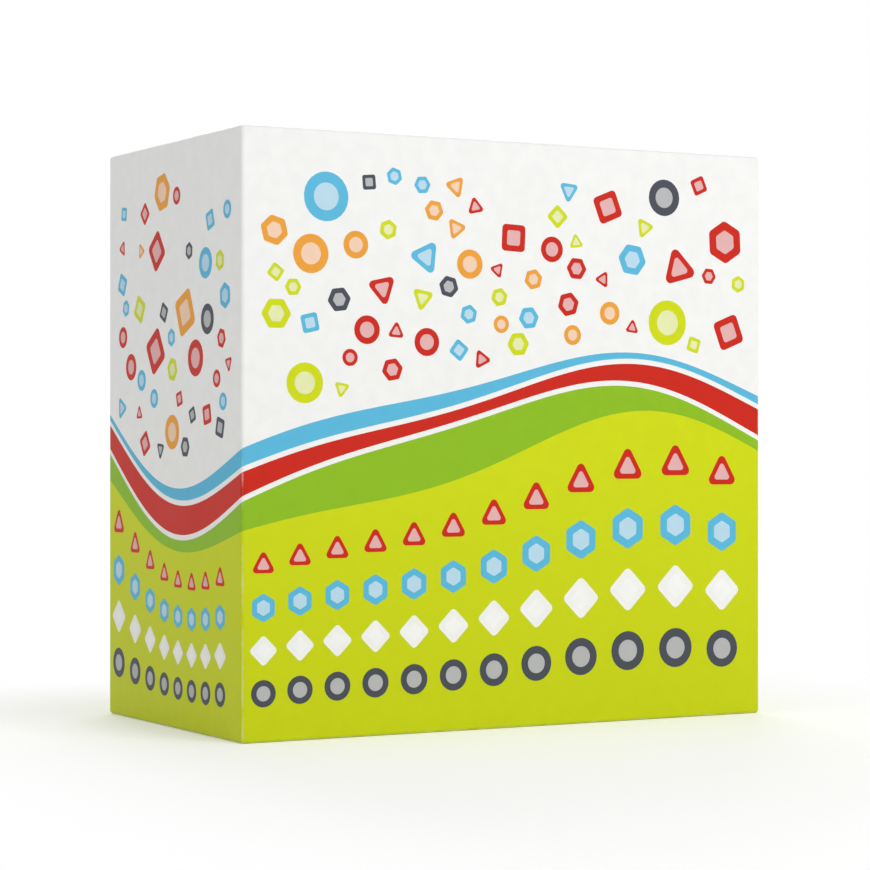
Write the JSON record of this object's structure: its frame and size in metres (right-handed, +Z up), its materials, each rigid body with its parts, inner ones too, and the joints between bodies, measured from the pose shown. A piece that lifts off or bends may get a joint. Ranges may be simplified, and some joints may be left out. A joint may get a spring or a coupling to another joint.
{
  "type": "boxed puzzle sorter",
  "caption": "Square board game box with a full-depth lid that lifts off a base; inside, nested sorting trays with notched sides lift out to hold loose jigsaw pieces.",
  "frame": {"origin": "middle of the closed box's footprint, on the surface it stands on", "axes": "+Z up as the box stands, -Y towards the viewer through the lid's face, +X to the viewer's right"},
  "size_m": [0.207, 0.113, 0.202],
  "materials": {
    "printed_wrap": "satin",
    "plain_wrap": "satin",
    "greyboard": "matte",
    "stay_paper": "matte",
    "tray_plastic": "satin"
  },
  "bodies": {
    "base": {"base_back_board": "greyboard", "base_left_board": "greyboard", "base_right_board": "greyboard", "base_top_board": "greyboard", "base_bottom_board": "greyboard", "base_corner_stays": "stay_paper", "base_wrap": "plain_wrap"},
    "tray_1": {"sorting_tray_1": "tray_plastic"},
    "tray_2": {"sorting_tray_2": "tray_plastic"},
    "tray_3": {"sorting_tray_3": "tray_plastic"},
    "tray_4": {"sorting_tray_4": "tray_plastic"},
    "tray_5": {"sorting_tray_5": "tray_plastic"},
    "tray_6": {"sorting_tray_6": "tray_plastic"},
    "lid": {"lid_face_board": "greyboard", "lid_left_board": "greyboard", "lid_right_board": "greyboard", "lid_top_board": "greyboard", "lid_bottom_board": "greyboard", "lid_corner_stays": "stay_paper", "lid_wrap": "printed_wrap"}
  },
  "joints": [
    {"name": "tray_1_lift_out", "type": "slide", "parent": "base", "child": "tray_1", "axis": [0, -1, 0], "range_m": [0, 0.1242]},
    {"name": "tray_2_lift_out", "type": "slide", "parent": "tray_1", "child": "tray_2", "axis": [0, -1, 0], "range_m": [0, 0.1067]},
    {"name": "tray_3_lift_out", "type": "slide", "parent": "tray_2", "child": "tray_3", "axis": [0, -1, 0], "range_m": [0, 0.0892]},
    {"name": "tray_4_lift_out", "type": "slide", "parent": "tray_3", "child": "tray_4", "axis": [0, -1, 0], "range_m": [0, 0.0717]},
    {"name": "tray_5_lift_out", "type": "slide", "parent": "tray_4", "child": "tray_5", "axis": [0, -1, 0], "range_m": [0, 0.0542]},
    {"name": "tray_6_lift_out", "type": "slide", "parent": "tray_5", "child": "tray_6", "axis": [0, -1, 0], "range_m": [0, 0.0367]},
    {"name": "lid_lift_off", "type": "slide", "parent": "tray_6", "child": "lid", "axis": [0, -1, 0], "range_m": [0, 0.1263]}
  ]
}
